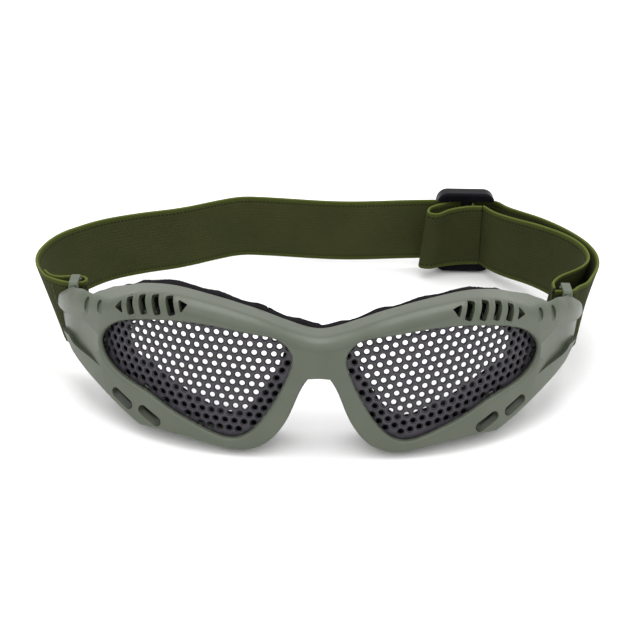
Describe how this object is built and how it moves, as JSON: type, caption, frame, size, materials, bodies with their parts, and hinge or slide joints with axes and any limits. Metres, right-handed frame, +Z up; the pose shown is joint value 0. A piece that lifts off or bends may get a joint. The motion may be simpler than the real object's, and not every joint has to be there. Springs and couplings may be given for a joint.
{
  "type": "mesh_safety_goggles",
  "caption": "Mesh safety goggles: moulded wraparound frame with perforated steel eye panels, foam face seal and an elastic head strap with a sliding adjuster",
  "frame": {"origin": "middle of the base of the overall box, on the floor the goggles stand on", "axes": "+X to the wearer's left, +Y from the lenses towards the back of the strap, +Z up from the floor"},
  "size_m": [0.1996, 0.1412, 0.0516],
  "materials": {
    "frame": "fine satin moulded, grey-green",
    "steel_mesh": "dark coated perforated sheet",
    "foam": "closed-cell foam, dull dark grey",
    "webbing": "ribbed woven elastic, olive green",
    "slider_plastic": "glossy moulded, near black"
  },
  "bodies": {
    "root": {"frame_shell": "frame", "lens_mesh_left": "steel_mesh", "lens_mesh_right": "steel_mesh", "foam_brow_left": "foam", "foam_brow_right": "foam", "foam_cheek_left": "foam", "foam_cheek_right": "foam", "strap_band": "webbing"},
    "slider": {"strap_slider": "slider_plastic", "strap_end_loop": "webbing"}
  },
  "joints": [
    {"name": "slider_travel", "type": "slide", "parent": "root", "child": "slider", "axis": [-1, 0, 0], "range_m": [0, 0.06]}
  ]
}
